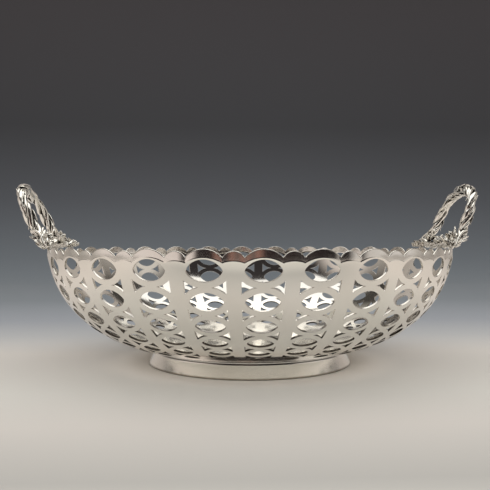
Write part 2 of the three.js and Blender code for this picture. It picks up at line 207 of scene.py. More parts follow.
def bowl_curve():
    """The outside from the rim to the axis: distance along it, radius, height, and the normal."""
    upright = BOWL_HEIGHT + FLARE_RESERVE
    depth = upright - UNDERSIDE
    rim_turn = math.acos((FLARE_RESERVE / depth) ** (FLOOR_FULLNESS / 2))
    reach = RIM_RADIUS / math.sin(rim_turn) ** (2 / SIDE_FULLNESS)
    turn = np.linspace(rim_turn, 0, CURVE_SAMPLES)
    r = reach * np.sin(turn) ** (2 / SIDE_FULLNESS)
    z = upright - depth * np.cos(turn) ** (2 / FLOOR_FULLNESS)
    drop = np.concatenate([[0], np.cumsum(np.hypot(np.diff(r), np.diff(z)))])
    return drop, r, z, -np.gradient(z, drop), np.gradient(r, drop)


CURVE = bowl_curve()
WALL_LENGTH = CURVE[0][-1]


def wall_at(drop):
    return [np.interp(drop, CURVE[0], values) for values in CURVE[1:]]


def panel_width(drop):
    return wall_at(drop)[0] * PANEL_ANGLE


def underside_at(radius):
    """Height of the bowl's outside at a radius."""
    return float(np.interp(radius, CURVE[1][::-1], CURVE[2][::-1]))


def oval_rows():
    rows = []
    drop = FIRST_ROW_DROP
    for k in range(ROW_COUNT):
        share = k / (ROW_COUNT - 1)
        width = float(panel_width(drop))
        rows.append({
            "drop": drop,
            "width": width,
            "half_width": (width - mix(*TIP_BRIDGE, share)) / 2,
            "half_height": width * mix(*OVAL_HEIGHT, share) / 2,
            "rib": mix(*RIB, share),
        })
        guess = drop + ROW_STEP_SHARE * width
        drop += ROW_STEP_SHARE * (width + float(panel_width(guess))) / 2
    return rows


ROWS = oval_rows()
PLAIN_DROP = ROWS[-1]["drop"] + ROWS[-1]["half_height"] + FLOOR_MARGIN * ROWS[-1]["width"]


def arc_rise(x, width, rise):
    radius = width * width / (8 * rise) + rise / 2
    return np.sqrt(np.maximum(radius * radius - x * x, 0)) - radius + rise


def scalloped(x, base, large_rise, small_rise):
    """Drop of a line that follows the scallops across a panel, at x on the rim's width."""
    pitch = float(panel_width(0))
    small = pitch - LARGE_SCALLOP
    beside = np.abs(x) - pitch / 2
    large_part = base - arc_rise(x, LARGE_SCALLOP, large_rise)
    small_part = base - arc_rise(beside, small, small_rise)
    return np.where(np.abs(x) < LARGE_SCALLOP / 2, large_part, small_part)


def border_drop(across):
    """Drop of the border's lower line at a share of the panel's width."""
    pitch = float(panel_width(0))
    return scalloped(across * pitch, BORDER_DROP, BORDER_LARGE_RISE, BORDER_SMALL_RISE)


def border_inset(x, drop):
    above = border_drop(x / panel_width(drop)) - drop
    step = BORDER_STEP * smoothstep(above, 0, BORDER_CHAMFER)
    return step + BORDER_SLOPE * np.maximum(above, 0)


def bowl_point(x, drop, inset):
    """Points of the middle panel: x across it, drop down the wall, inset into the sheet."""
    r, z, nr, nz = wall_at(drop)
    angle = x / np.maximum(r, 1e-6)
    depth = inset + border_inset(x, drop)
    radius = r - nr * depth
    return columns(radius * np.cos(angle), radius * np.sin(angle), z - nz * depth)


def bowl_normal(x, drop, inset):
    """Normal of the skin at those points, outwards on the outside and inwards on the inside."""
    d = 0.00003
    down = bowl_point(x, drop + d, inset) - bowl_point(x, np.maximum(drop - d, 0), inset)
    over = bowl_point(x + d, drop, inset) - bowl_point(x - d, drop, inset)
    normal = unit(np.cross(down, over))
    return -normal if inset > SHEET / 2 else normal


# Outlines on the panel, as points (x, drop)


def oval_outline(row):
    turn = np.linspace(0, np.pi, OVAL_SAMPLES)
    half = np.sin(turn) ** OVAL_ROUNDNESS * row["half_height"]
    spacing = max(row["width"] / OVAL_STEPS, LEAST_OVAL_STEP)
    halves = []
    for side in (1, -1):
        line = columns(side * row["half_width"] * np.cos(turn), row["drop"] - side * half)
        count = max(int(round(distance_along(line)[-1] / spacing)), 2)
        halves.append(at_equal_steps(line, count + 1)[:-1])
    return np.vstack(halves)


def bowed(start, end, rise, count):
    """Points from start to just before end on a shallow arc that rises by a drop of rise."""
    share = np.linspace(0, 1, count, endpoint=False)[:, None]
    line = start + (end - start) * share
    line[:, 1] += rise * 4 * share[:, 0] * (1 - share[:, 0])
    return line


def side_outline(upper, lower, side):
    width = (upper["width"] + lower["width"]) / 2
    top = upper["drop"] + upper["half_height"] - SIDE_REACH * width
    bottom = lower["drop"] - lower["half_height"] + SIDE_REACH * width
    rib = (upper["rib"] + lower["rib"]) / 4
    corners = np.array([
        [float(panel_width(top)) / 2 - rib, top],
        [float(panel_width(bottom)) / 2 - rib, bottom],
        [WAIST_SHARE * width / 2, (top + bottom) / 2],
    ])
    bulge = SIDE_BULGE * width
    count = max(int(width / SIDE_STEP), 3)
    outline = np.vstack([
        bowed(corners[0], corners[1], 0, max(int((bottom - top) / RIB_STEP), 2)),
        bowed(corners[1], corners[2], -bulge, count),
        bowed(corners[2], corners[0], bulge, count),
    ])
    outline[:, 0] *= side
    return outline if side > 0 else outline[::-1]


def into_metal(outline, closed):
    """Directions across an outline into the metal, which lies on the right as it runs."""
    before, after = (outline[-1:], outline[:1]) if closed else (outline[:1], outline[-1:])
    steps = unit(np.diff(np.vstack([before, outline, after]), axis=0))
    along = unit(steps[:-1] + steps[1:])
    return columns(along[:, 1], -along[:, 0])


def signed_area(outline):
    x, y = outline[:, 0], outline[:, 1]
    return 0.5 * float(np.sum(x * np.roll(y, -1) - np.roll(x, -1) * y))


def rim_outline():
    """The rim of a panel from rib to rib, from its right to its left, as points (x, drop)."""
    pitch = float(panel_width(0))
    half_small = (pitch - LARGE_SCALLOP) / 2
    small = np.linspace(0, half_small, SMALL_SCALLOP_POINTS)
    large = np.linspace(-LARGE_SCALLOP / 2, LARGE_SCALLOP / 2, LARGE_SCALLOP_POINTS)
    x = np.concatenate([-pitch / 2 + small[:-1], large, pitch / 2 - small[::-1][1:]])
    drop = scalloped(x, LARGE_SCALLOP_RISE, LARGE_SCALLOP_RISE, SMALL_SCALLOP_RISE)
    drop[np.isclose(np.abs(x), LARGE_SCALLOP / 2)] = LARGE_SCALLOP_RISE
    return columns(x * panel_width(drop) / pitch, drop)[::-1]


class MeshBuilder:
    """Collects points, normals and faces, and makes one object of them."""

    def __init__(self):
        self.points = []
        self.normals = []
        self.faces = []
        self.finish = 0  # which of the piece's materials the next faces get
        self.count = 0

    def add(self, points, normals=None):
        """Adds points, and returns the index of the first."""
        self.points.append(np.asarray(points, float))
        if normals is not None:
            self.normals.append(np.asarray(normals, float))
        self.count += len(points)
        return self.count - len(points)

    def add_face(self, corners):
        self.faces.append((corners, self.finish))

    def strips(self, starts, count, closed, turned=False):
        """Quads between each line of points and the next, for lines that start at given indices."""
        for first, second in zip(starts, starts[1:]):
            if turned:
                first, second = second, first
            for k in range(count if closed else count - 1):
                n = (k + 1) % count
                self.add_face((first + k, first + n, second + n, second + k))

    def fan(self, first, count, closed, turned, tip):
        """Triangles between a line of points and a tip."""
        for k in range(count if closed else count - 1):
            a, b = first + k, first + (k + 1) % count
            self.add_face((b, a, tip) if turned else (a, b, tip))

    def build(self, name, materials, weld=1e-7):
        points = np.vstack(self.points)
        _, first, inverse = np.unique(
            np.round(points / weld).astype(np.int64), axis=0, return_index=True, return_inverse=True)
        inverse = inverse.reshape(-1)
        whole = {}
        for face, finish in self.faces:
            corners = [int(inverse[k]) for k in face]
            kept = [c for k, c in enumerate(corners) if c != corners[k - 1]]
            same = frozenset(kept)
            if len(kept) < 3 or len(same) < len(kept):
                continue
            # Two faces back to back, as at a leaf's pointed ends, close on each other: both go
            if same in whole:
                del whole[same]
            else:
                whole[same] = (kept, finish)
        faces, finishes = zip(*whole.values())
        mesh = bpy.data.meshes.new(name)
        mesh.from_pydata(points[first].tolist(), [], faces)
        mesh.update()
        mesh.polygons.foreach_set("use_smooth", [True] * len(mesh.polygons))
        if self.normals:
            normals = unit(np.vstack(self.normals)[first])
            mesh.normals_split_custom_set_from_vertices(normals.tolist())
        piece = bpy.data.objects.new(name, mesh)
        bpy.context.scene.collection.objects.link(piece)
        for material in materials:
            mesh.materials.append(material)
        mesh.polygons.foreach_set("material_index", finishes)
        return piece


def inside(points, loops):
    """Which of the points lie inside an odd number of the closed loops."""
    odd = np.zeros(len(points), bool)
    for loop in loops:
        for (ax, ay), (bx, by) in zip(loop, np.roll(loop, -1, axis=0)):
            spans = (ay > points[:, 1]) != (by > points[:, 1])
            if not spans.any() or ay == by:
                continue
            crossing = ax + (points[:, 1] - ay) * (bx - ax) / (by - ay)
            odd ^= spans & (points[:, 0] < crossing)
    return odd


def near_any(points, lines, distance):
    """Which of the points lie within a distance of any point of the lines."""
    every = np.vstack(lines)
    return np.array([np.linalg.norm(every - point, axis=1).min() < distance for point in points])


def edge_profile(rounding):
    """Across a cut edge from the outside to the inside: distance into the metal, depth, and the
    share of the edge's own normal in the shading."""
    turns = np.linspace(0, math.pi / 2, 4)
    outer = [(rounding * (1 - math.sin(a)), rounding * (1 - math.cos(a)), math.sin(a)) for a in turns]
    return outer + [(offset, SHEET - depth, share) for offset, depth, share in outer[::-1]]


def add_edge(builder, outline, closed, rounding):
    """The rounded wall of a cut edge. Returns its outline on the skins."""
    metal = into_metal(outline, closed)
    if not closed:
        # The rim runs level across the ribs, where the panels meet
        metal[0] = metal[-1] = (0, 1)
    nudge = metal * 1e-5
    starts = []
    stations = edge_profile(rounding)
    for offset, depth, share in stations:
        x, drop = (outline + metal * offset).T
        points = bowl_point(x, drop, depth)
        skin = bowl_normal(x, drop, depth)
        away = unit(points - bowl_point(x + nudge[:, 0], drop + nudge[:, 1], depth))
        normal = unit(skin * math.sqrt(max(1 - share * share, 0)) + away * share)
        starts.append(builder.add(points, normal))
    builder.finish = 1
    builder.strips(starts, len(outline), closed, True)
    builder.finish = 0
    return outline + metal * stations[0][0]


def add_openings(builder):
    """The cut edges of all the panel's openings. Returns their outlines on the skins."""
    holes = [oval_outline(row) for row in ROWS]
    for upper, lower in zip(ROWS, ROWS[1:]):
        holes += [side_outline(upper, lower, side) for side in (1, -1)]
    turned = [hole if signed_area(hole) > 0 else hole[::-1] for hole in holes]
    return [add_edge(builder, hole, True, EDGE_ROUNDING) for hole in turned]


def panel_grid():
    """Points all over the panel in a staggered grid, from the rim to the plain floor."""
    rows = []
    drops = np.arange(GRID_TOP, PLAIN_DROP - GRID_STEP / 2, GRID_STEP * GRID_ROW_SHARE)
    for level, drop in enumerate(drops):
        width = panel_width(drop)
        count = max(int(round(width / GRID_STEP)), 2)
        share = (np.arange(count + 1) + level % 2 / 2) / count - 0.5
        rows.append(columns(share[np.abs(share) < 0.499] * width, drop))
    return np.vstack(rows)


def border_lines():
    """Lines that follow the border's lower edge, so that its step is crisp."""
    across = np.linspace(-0.5, 0.5, BORDER_POINTS)
    drops = [border_drop(across) - above for above in BORDER_LINES]
    return [columns(across * panel_width(drop), drop) for drop in drops]


def panel_contour(rim_skin, borders):
    """Round the panel: the rim, its left side, the edge of the plain floor and its right side."""
    drops = [line[0, 1] for line in borders]
    drops += [*np.arange(PANEL_SIDE_TOP, PLAIN_DROP - 0.001, PANEL_SIDE_STEP), PLAIN_DROP]
    drops = np.array([drop for drop in sorted(drops) if drop > rim_skin[-1, 1] + 0.0002])
    left = columns(-panel_width(drops) / 2, drops)
    floor_half = panel_width(PLAIN_DROP) / 2
    floor = columns(np.linspace(-floor_half, floor_half, FLOOR_POINTS)[1:-1], PLAIN_DROP)
    return np.vstack([rim_skin, left, floor, left[::-1] * (-1, 1)])


def panel_points(loops, borders):
    """Points in the panel's metal: the grid, and the lines of the border's step."""
    lines = [line[1:-1] for line in borders]
    grid = panel_grid()
    grid = grid[~near_any(grid, loops, GRID_TO_EDGE)]
    grid = grid[~near_any(grid, lines, GRID_TO_BORDER)]
    points = np.vstack([grid, *[line[~near_any(line, loops, BORDER_TO_EDGE)] for line in lines]])
    return points[inside(points, loops)]


def triangulated(loops, points):
    """Triangles between loops, through points, all turned the same way."""
    coords = [Vector(point) for point in np.vstack([*loops, points]) * TO_MILLIMETRES]
    edges = []
    start = 0
    for loop in loops:
        count = len(loop)
        edges += [(start + k, start + (k + 1) % count) for k in range(count)]
        start += count
    flat, _, faces, *_ = delaunay_2d_cdt(coords, edges, [], 0, 1e-7)
    flat = np.array([tuple(v) for v in flat]) / TO_MILLIMETRES
    faces = np.array([tuple(face) for face in faces])
    faces = faces[inside(flat[faces].mean(axis=1), loops)]
    turned = np.array([signed_area(corners) < 0 for corners in flat[faces]])
    faces[turned] = faces[turned][:, ::-1]
    return flat, faces


def pierced_bowl(materials):
    """The pierced sheet: one panel with its cut edges and both skins, repeated round the axis."""
    builder = MeshBuilder()
    rim_skin = add_edge(builder, rim_outline(), False, RIM_ROUNDING)
    hole_skins = add_openings(builder)
    borders = border_lines()
    loops = [panel_contour(rim_skin, borders), *hole_skins]
    flat, faces = triangulated(loops, panel_points(loops, borders))
    x, drop = flat.T
    for depth, flip in ((0.0, True), (SHEET, False)):
        first = builder.add(bowl_point(x, drop, depth), bowl_normal(x, drop, depth))
        for face in faces[:, ::-1] if flip else faces:
            builder.add_face(tuple(first + face))
        add_floor(builder, depth, flip)
    return whole_bowl(builder, materials)


def add_floor(builder, depth, flip):
    """The plain floor of one panel, down to the axis."""
    shares = np.linspace(-0.5, 0.5, FLOOR_POINTS)
    starts = []
    for level in np.linspace(PLAIN_DROP, WALL_LENGTH, FLOOR_RINGS)[:-1]:
        drop = np.full(FLOOR_POINTS, level)
        x = shares * panel_width(drop)
        starts.append(builder.add(bowl_point(x, drop, depth), bowl_normal(x, drop, depth)))
    z = float(CURVE[2][-1]) + depth
    tip = builder.add([(0, 0, z)], [(0, 0, -1 if flip else 1)])
    builder.strips(starts, FLOOR_POINTS, False, flip)
    builder.fan(starts[-1], FLOOR_POINTS, False, flip, tip)


def whole_bowl(panel, materials):
    """The panel repeated round the axis."""
    points, normals = np.vstack(panel.points), np.vstack(panel.normals)
    whole = MeshBuilder()
    for k in range(PANEL_COUNT):
        c, s = math.cos(PANEL_ANGLE * k), math.sin(PANEL_ANGLE * k)
        turn = np.array([[c, s, 0], [-s, c, 0], [0, 0, 1]])
        first = whole.add(points @ turn, normals @ turn)
        whole.faces += [([first + n for n in face], finish) for face, finish in panel.faces]
    return whole.build("pierced_bowl_sheet", materials, weld=2e-6)


# The foot


def foot_profile():
    """The foot's section: the rounded lower edge, the sloping face, the collar and the inside."""
    top = FOOT_RADIUS - FOOT_SPREAD
    inner = top - FOOT_WALL
    shoulder = underside_at(top) - SEAM - FOOT_COLLAR
    bend = mix(top, FOOT_RADIUS, FOOT_BEND)
    share = np.linspace(0, 1, 16)[:, None]
    low, middle, high = np.array([
        [FOOT_RADIUS, FOOT_EDGE], [bend, shoulder * FOOT_BEND_RISE], [top, shoulder]])
    side = (1 - share) ** 2 * low + 2 * share * (1 - share) * middle + share ** 2 * high
    edge = np.linspace(-math.pi / 2, 0, 6)[:-1]
    centre = FOOT_RADIUS - FOOT_EDGE
    rounded = columns(centre + FOOT_EDGE * np.cos(edge), FOOT_EDGE * (1 + np.sin(edge)))
    collar = np.array([
        [top, underside_at(top)],
        [inner, underside_at(inner)],
        [inner, shoulder - FOOT_WALL],
        [bend - FOOT_WALL, shoulder * FOOT_BEND_RISE - FOOT_WALL],
        [FOOT_RADIUS - FOOT_WALL - FOOT_EDGE, 0],
    ])
    return np.vstack([rounded, side, collar])


def foot_ring(material):
    """A band with a plain sloping face and an upright collar, up against the bowl."""
    builder = MeshBuilder()
    angles = np.linspace(0, 2 * math.pi, FOOT_SEGMENTS, endpoint=False)
    cos, sin = np.cos(angles), np.sin(angles)
    starts = [builder.add(columns(r * cos, r * sin, z)) for r, z in foot_profile()]
    builder.strips(starts + starts[:1], FOOT_SEGMENTS, True)
    piece = builder.build("foot_ring_band", [material])
    piece.data.set_sharp_from_angle(angle=math.radians(35))
    return piece


# The handles


def handle_place(side):
    """Where a handle's own places are, for the handle at +X: w across it, v up its leaning plane,
    n out of that plane."""
    lean_sin, lean_cos = math.sin(HANDLE_LEAN[side]), math.cos(HANDLE_LEAN[side])
    twist = math.sin(HANDLE_TWIST[side])

    def place(wvn):
        w, v, n = np.moveaxis(np.asarray(wvn, float), -1, 0)
        free = smoothstep(v, 0, LIMB_BASE_RISE)
        sag = RIM_RADIUS - np.sqrt(RIM_RADIUS ** 2 - np.minimum(w ** 2, RIM_RADIUS ** 2))
        x = RIM_RADIUS - SHEET / 2 - sag * (1 - free) - w * twist * free + v * lean_sin + n * lean_cos
        z = BOWL_HEIGHT + v * lean_cos - n * lean_sin
        return columns(x, w, z)

    return place


def smooth_line(points, count):
    """A centripetal Catmull-Rom curve through points, at equal steps."""
    p = np.asarray(points, float)
    p = np.vstack([2 * p[0] - p[1], p, 2 * p[-1] - p[-2]])
    parts = []
    u = np.linspace(0, 1, 40, endpoint=False)[:, None]
    for k in range(1, len(p) - 2):
        a, b, c, d = p[k - 1:k + 3]
        t0, t1, t2 = np.sqrt(np.linalg.norm([b - a, c - b, d - c], axis=1))
        m1 = ((b - a) / t0 - (c - a) / (t0 + t1) + (c - b) / t1) * t1
        m2 = ((c - b) / t1 - (d - b) / (t1 + t2) + (d - c) / t2) * t1
        parts.append(
            (2 * u ** 3 - 3 * u ** 2 + 1) * b + (u ** 3 - 2 * u ** 2 + u) * m1
            + (3 * u ** 2 - 2 * u ** 3) * c + (u ** 3 - u ** 2) * m2)
    line = np.vstack([*parts, p[-2:-1]])
    return at_equal_steps(line, count), distance_along(line)[-1]


def loop_points():
    """The loop's middle line as points (w, v), from one tail's end over the crown to the other's, in
    shares chosen from the photograph."""
    lift = STRAND_OFFSET + STRAND_RADIUS + SEAM
    tail_rise = TAIL_RADIUS + SEAM + SMALL_SCALLOP_RISE - LARGE_SCALLOP_RISE
    half = [
        (TAIL_SEAT + TAIL_OVER, tail_rise),
        (TAIL_SEAT - TAIL_OVER, tail_rise + SEAM),
        (LIMB_SPREAD + LIMB_TOE, lift + LIMB_TOE * 0.2),
        (LIMB_SPREAD + LIMB_TOE * 0.12, lift + LIMB_TOE),
        (LIMB_SPREAD - LIMB_TOE * 0.02, LOOP_RISE * 0.42),
        (LIMB_SPREAD - LIMB_TOE * 0.25, LOOP_RISE * 0.66),
        (LIMB_SPREAD * 0.68, LOOP_RISE * 0.87),
        (LIMB_SPREAD * 0.36, LOOP_RISE * 0.975),
    ]
    return [(-w, v) for w, v in half] + [(0, LOOP_RISE)] + [(w, v) for w, v in half[::-1]]


LOOP, LOOP_LENGTH = smooth_line(loop_points(), 1200)
LOOP_SHARE = np.linspace(0, 1, len(LOOP))
LOOP_ALONG = unit(np.gradient(LOOP, axis=0))


def beside_loop(share, angle, distance):
    """Places beside the loop's middle line: angle 0 faces out of the loop."""
    lines = [*LOOP.T, *LOOP_ALONG.T]
    w, v, along_w, along_v = [np.interp(share, LOOP_SHARE, values) for values in lines]
    w = w - along_v * distance * np.cos(angle)
    v = v + along_w * distance * np.cos(angle)
    return columns(w, v, distance * np.sin(angle))


def strand_angle(index, share):
    return 2 * np.pi * STRAND_TURNS * share + np.pi * index


def frames_along(line):
    """Unit vectors along a line and two across it, which turn as little as they can."""
    along = unit(np.gradient(line, axis=0))
    across = np.zeros_like(line)
    across[0] = unit(np.cross(along[0], (0.3, 0.1, 1.0)))
    for k in range(1, len(line)):
        across[k] = unit(across[k - 1] - along[k] * np.dot(across[k - 1], along[k]))
    return along, across, np.cross(along, across)


def add_twig(builder, line, radius, sides, bark, flute, seed):
    """A tube along a line, closed with pointed ends. Its bark is three waves: turning flutes, finer
    ones that turn the other way, and knots."""
    along, across, over = frames_along(line)
    turn = np.linspace(0, 2 * np.pi, sides, endpoint=False)
    starts = []
    for k, far in enumerate(distance_along(line) * TO_MILLIMETRES):
        ridge = 0.55 * np.sin(flute * turn + 0.35 * far + seed)
        ridge += 0.3 * np.sin((flute + 2) * turn - 0.55 * far + 2.1 * seed)
        ridge += 0.35 * np.sin(0.9 * far + 1.7 * seed + 1.5 * np.cos(turn + seed))
        r = radius[k] * (1 + bark * ridge)
        ring = line[k] + across[k] * (r * np.cos(turn))[:, None] + over[k] * (r * np.sin(turn))[:, None]
        starts.append(builder.add(ring))
    builder.strips(starts, sides, True)
    for end, direction in ((0, -1), (-1, 1)):
        tip = builder.add([line[end] + along[end] * direction * radius[end] * 0.7])
        builder.fan(starts[end], sides, True, direction < 0, tip)


def strand_line(index, count):
    """Where a main strand runs, and its radii. The first has its tail at the loop's start and the
    second at its end: there a strand lies alone, thinner and without twist."""
    tail = TAIL_LENGTH / LOOP_LENGTH
    trim = TAIL_TRIM / LOOP_LENGTH
    share = np.linspace(trim, 1 - tail, count) if index == 0 else np.linspace(tail, 1 - trim, count)
    from_tail = (share if index == 0 else 1 - share) - trim
    full = smoothstep(from_tail, tail * 0.55, tail * 1.5)
    angle = strand_angle(index, share)
    offset = STRAND_OFFSET * SLIMMING * full * mix(0.74, 1.0, np.sin(angle) ** 2)
    knots = 0.10 * np.sin(share * 61 + index * 2) ** 8 + 0.05 * np.sin(share * 38 + 1 + index)
    radius = mix(TAIL_RADIUS * TAIL_THINNING, STRAND_RADIUS * STRAND_THINNING, full) * (1 + knots)
    radius = radius * mix(0.6, 1, smoothstep(from_tail, 0, 0.03))
    return beside_loop(share, angle, offset), radius


def leaf_half(t, width):
    """Half the width of a leaf at a share of its length: pointed, with a wavy edge."""
    pointed = math.sin(math.pi * min(t ** 0.75, 1)) ** 0.8
    return width / 2 * pointed * (1 + 0.10 * math.sin(5 * math.pi * t))


def leaf_faces(t, cup):
    """Heights of the top and the underside of a leaf above its middle surface."""
    across = LEAF_ACROSS
    body = LEAF_THICKNESS * 0.5 * math.sin(math.pi * min(max(t, 0.02), 0.98)) ** 0.5
    vein = LEAF_VEIN * np.exp(-(across / 0.22) ** 2) * math.sin(math.pi * t)
    round_off = np.sqrt(np.maximum(1 - across ** 2, 0))
    bowl = cup * across ** 2
    return body * round_off + vein + bowl, bowl - body * 0.8 * round_off


LEAF_STEPS = np.linspace(0, 1, 15)
LEAF_ACROSS = np.linspace(-1, 1, 9)


def add_wrapped_leaf(builder, place, share, angle, direction, length, width):
    """A leaf that hugs the strands, grows along the loop and turns more slowly than they do."""
    turning = 2 * np.pi * STRAND_TURNS * 0.6
    rows = []
    for t in LEAF_STEPS:
        away = LEAF_SEAT + LEAF_LIFT * t * t
        side = leaf_half(t, width) * LEAF_ACROSS
        turn = angle + direction * turning * length / LOOP_LENGTH * t + side / away
        grown = share + direction * length / LOOP_LENGTH * t
        faces = leaf_faces(t, 0.0002)
        rows.append([place(beside_loop(grown, turn, away + level)) for level in faces])
    add_two_sided(builder, rows)


def add_free_leaf(builder, place, base, heading, face, length, width, curl):
    """A leaf that grows from a base along a heading and curls towards its face."""
    heading = unit(np.array(heading, float))
    face = np.array(face, float)
    face = unit(face - heading * np.dot(face, heading))
    aside = np.cross(face, heading)
    rows = []
    for t in LEAF_STEPS:
        middle = np.array(base) + heading * length * t + face * curl * t * t
        side = (leaf_half(t, width) * LEAF_ACROSS)[:, None] * aside
        faces = leaf_faces(t, 0.0005)
        rows.append([place(middle + side + level[:, None] * face) for level in faces])
    add_two_sided(builder, rows)


def add_two_sided(builder, rows):
    """Rows of (top, underside) points, which meet at the sides and at both ends."""
    tops = [builder.add(top) for top, _ in rows]
    unders = [builder.add(under) for _, under in rows]
    count = len(rows[0][0])
    for k in range(len(rows) - 1):
        builder.strips(tops[k:k + 2], count, False)
        builder.strips(unders[k:k + 2], count, False, True)
        for side, turned in ((0, False), (count - 1, True)):
            a, b = tops[k] + side, tops[k + 1] + side
            c, d = unders[k + 1] + side, unders[k] + side
            builder.add_face((d, c, b, a) if turned else (a, b, c, d))
    for row, turned in ((0, True), (-1, False)):
        builder.strips([tops[row], unders[row]], count, False, turned)


def add_thorn(builder, place, share, angle, length, direction):
    """A short pointed twig that grows away from the loop."""
    steps = np.linspace(0, 1, 8)
    at = share + direction * length / LOOP_LENGTH * steps
    away = STRAND_OFFSET * SLIMMING + length * steps ** 1.3 * 0.6
    line = place(beside_loop(at, angle, away))
    add_twig(builder, line, THORN_RADIUS * (1 - 0.8 * steps), 8, 0.05, 2, share * 40)


# Share of the loop, angle round it, length and direction of each thorn
THORNS = [
    (0.20, 2.4, 0.0036, -1), (0.25, 5.9, 0.0042, 1), (0.31, 0.5, 0.0042, 1), (0.36, 3.9, 0.0034, -1),
    (0.41, 0.1, 0.0036, -1), (0.60, 6.1, 0.0040, 1), (0.645, 0.4, 0.0045, -1), (0.69, 3.4, 0.0036, 1),
    (0.735, 0.2, 0.0044, -1), (0.79, 1.4, 0.0036, 1),
]

# Share, angle, direction, length and width of the leaves on the strands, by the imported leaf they
# stand for
WRAPPED_LEAVES = {
    "crown_leaf_front": [(0.43, 5.5, 1, 0.015, 0.0074), (0.47, 4.4, -1, 0.012, 0.0056)],
    "crown_leaf_back": [(0.57, 0.8, -1, 0.015, 0.0074), (0.53, 1.9, 1, 0.012, 0.0056)],
    "crown_leaf_outer": [(0.455, 0.1, 1, 0.015, 0.0080), (0.40, 0.3, 1, 0.012, 0.0058)],
    "crown_leaf_inner": [(0.545, 3.2, -1, 0.012, 0.0052), (0.59, 5.9, -1, 0.012, 0.0058)],
    "limb_leaf_front": [(0.29, 5.4, 1, 0.010, 0.0042), (0.34, 1.2, 1, 0.010, 0.0040)],
    "limb_leaf_back": [(0.71, 0.9, -1, 0.010, 0.0042), (0.66, 5.1, -1, 0.010, 0.0040)],
    "foot_leaf_front": [(0.19, 4.6, 1, 0.010, 0.0042), (0.20, 1.5, 1, 0.011, 0.0040)],
    "foot_leaf_back": [(0.81, 1.7, -1, 0.010, 0.0042), (0.80, 4.8, -1, 0.011, 0.0040)],
}


def add_foot_foliage(builder, place, end):
    """Leaves that climb the foot of a limb, and slope down from it to the rim under a stem. Sines of
    their number turn them, so that no two beside each other look alike."""
    stem_end = TAIL_SEAT + TAIL_OVER - TAIL_TRIM
    points = [(LIMB_SPREAD + out, up) for out, up in FOLIAGE_TOP]
    points += [(stem_end + out, up) for out, up in FOLIAGE_END]
    line, _ = smooth_line(points, 80)
    out, up = line[20:].T
    stem = columns(end * out, up, 0.0012 * np.sin(out * 700))
    thinning = np.linspace(1.2, 0.7, len(stem))
    add_twig(builder, place(stem), FOLIAGE_STEM_RADIUS * thinning, 10, 0.08, 2, 0.7)
    least, width, curl = FOLIAGE_LEAF
    for k in range(FOLIAGE_COUNT):
        w, top = line[int((k + 0.5) / FOLIAGE_COUNT * len(line))]
        turn = 2.4 * k
        base = (end * w, top * (0.75 * math.sin(1.9 * k) ** 2 - 0.02), 0.0015 * math.cos(turn + 0.6))
        heading = (
            -end * (0.15 + 0.45 * math.sin(turn)),
            0.50 + 0.4 * math.sin(2.7 * k),
            0.45 * math.cos(turn) - 0.15,
        )
        face = (math.cos(turn), 0.25, math.sin(turn))
        size = mix(1.0, 0.6, max(0.0, 2 * k / FOLIAGE_COUNT - 1))
        length = size * (least + FOLIAGE_LEAF_GROWTH * math.sin(2.1 * k) ** 2)
        add_free_leaf(builder, place, base, heading, face, length, width * size, curl)


def add_branch_leaves(builder, place, phase):
    """Small leaves on alternate sides of the branch on the rim."""
    reach = LIMB_SPREAD - 0.004
    for k in range(BRANCH_LEAF_COUNT):
        w = mix(-reach, reach, (k + phase) / BRANCH_LEAF_COUNT)
        way = 1 if k % 2 else -1
        base = (w, RIM_BRANCH_RADIUS + 0.0002, 0.0008 * way)
        heading = (0.9 * math.cos(2.2 * k + phase), 0.50 - 0.5 * math.sin(1.9 * k) ** 2, 0.55 * way)
        add_free_leaf(builder, place, base, heading, (0.1, 0.8, 0.7 * way), *BRANCH_LEAF)


def add_bud(builder, place, across, tilt, length):
    """A pointed bud on a short stalk, standing on the rim twigs."""
    steps = np.linspace(0, 1, 14)
    rise = length * steps
    line = columns(across + tilt * length * steps, RIM_BRANCH_RADIUS + rise, 0.0006 * np.sin(steps * 2))
    body = BUD_STALK + BUD_SWELL * np.exp(-((steps - 0.62) / 0.22) ** 2)
    radius = body * np.sqrt(np.clip(1.02 - steps ** 3, 0.02, 1))
    add_twig(builder, place(line), radius, 12, 0.10, 5, across * 900)


def strand(place, index):
    """One of the two twisted strands, with its vine and every other thorn."""
    builder = MeshBuilder()
    line, radius = strand_line(index, 240)
    add_twig(builder, place(line), radius, 16, 0.08, 3, index * 2.3)
    share = np.linspace(*VINE_REACH, 200)
    angle = strand_angle(index, share) + np.pi / 2 + 0.6 * np.sin(share * 30 + index)
    vine = beside_loop(share, angle, STRAND_OFFSET * SLIMMING * VINE_SEAT[index])
    swell = 1 + 0.25 * np.sin(share * 70 + index)
    add_twig(builder, place(vine), VINE_RADIUS * swell, 10, 0.08, 2, index)
    for thorn in THORNS[index::2]:
        add_thorn(builder, place, *thorn)
    return builder


def rim_branch(place):
    """Three twigs that twist round each other along the rim between the limbs, and their leaves."""
    builder = MeshBuilder()
    reach = LIMB_SPREAD + 0.001 - STRAND_OFFSET - STRAND_RADIUS
    up, out = RIM_TWIG_WAVE
    w = np.linspace(-reach, reach, 90)
    for phase in (0, 2.1, 4.2):
        turn = w / reach * 5.2 + phase
        line = columns(w, RIM_BRANCH_RADIUS - 2 * SEAM + up * np.sin(turn), out * np.cos(turn))
        swell = 1 + 0.2 * np.sin(np.linspace(0, 25, 90) + phase)
        add_twig(builder, place(line), RIM_TWIG_RADIUS * swell, 12, 0.09, 3, phase)
    for phase in (0.3, 0.8):
        add_branch_leaves(builder, place, phase)
    return builder


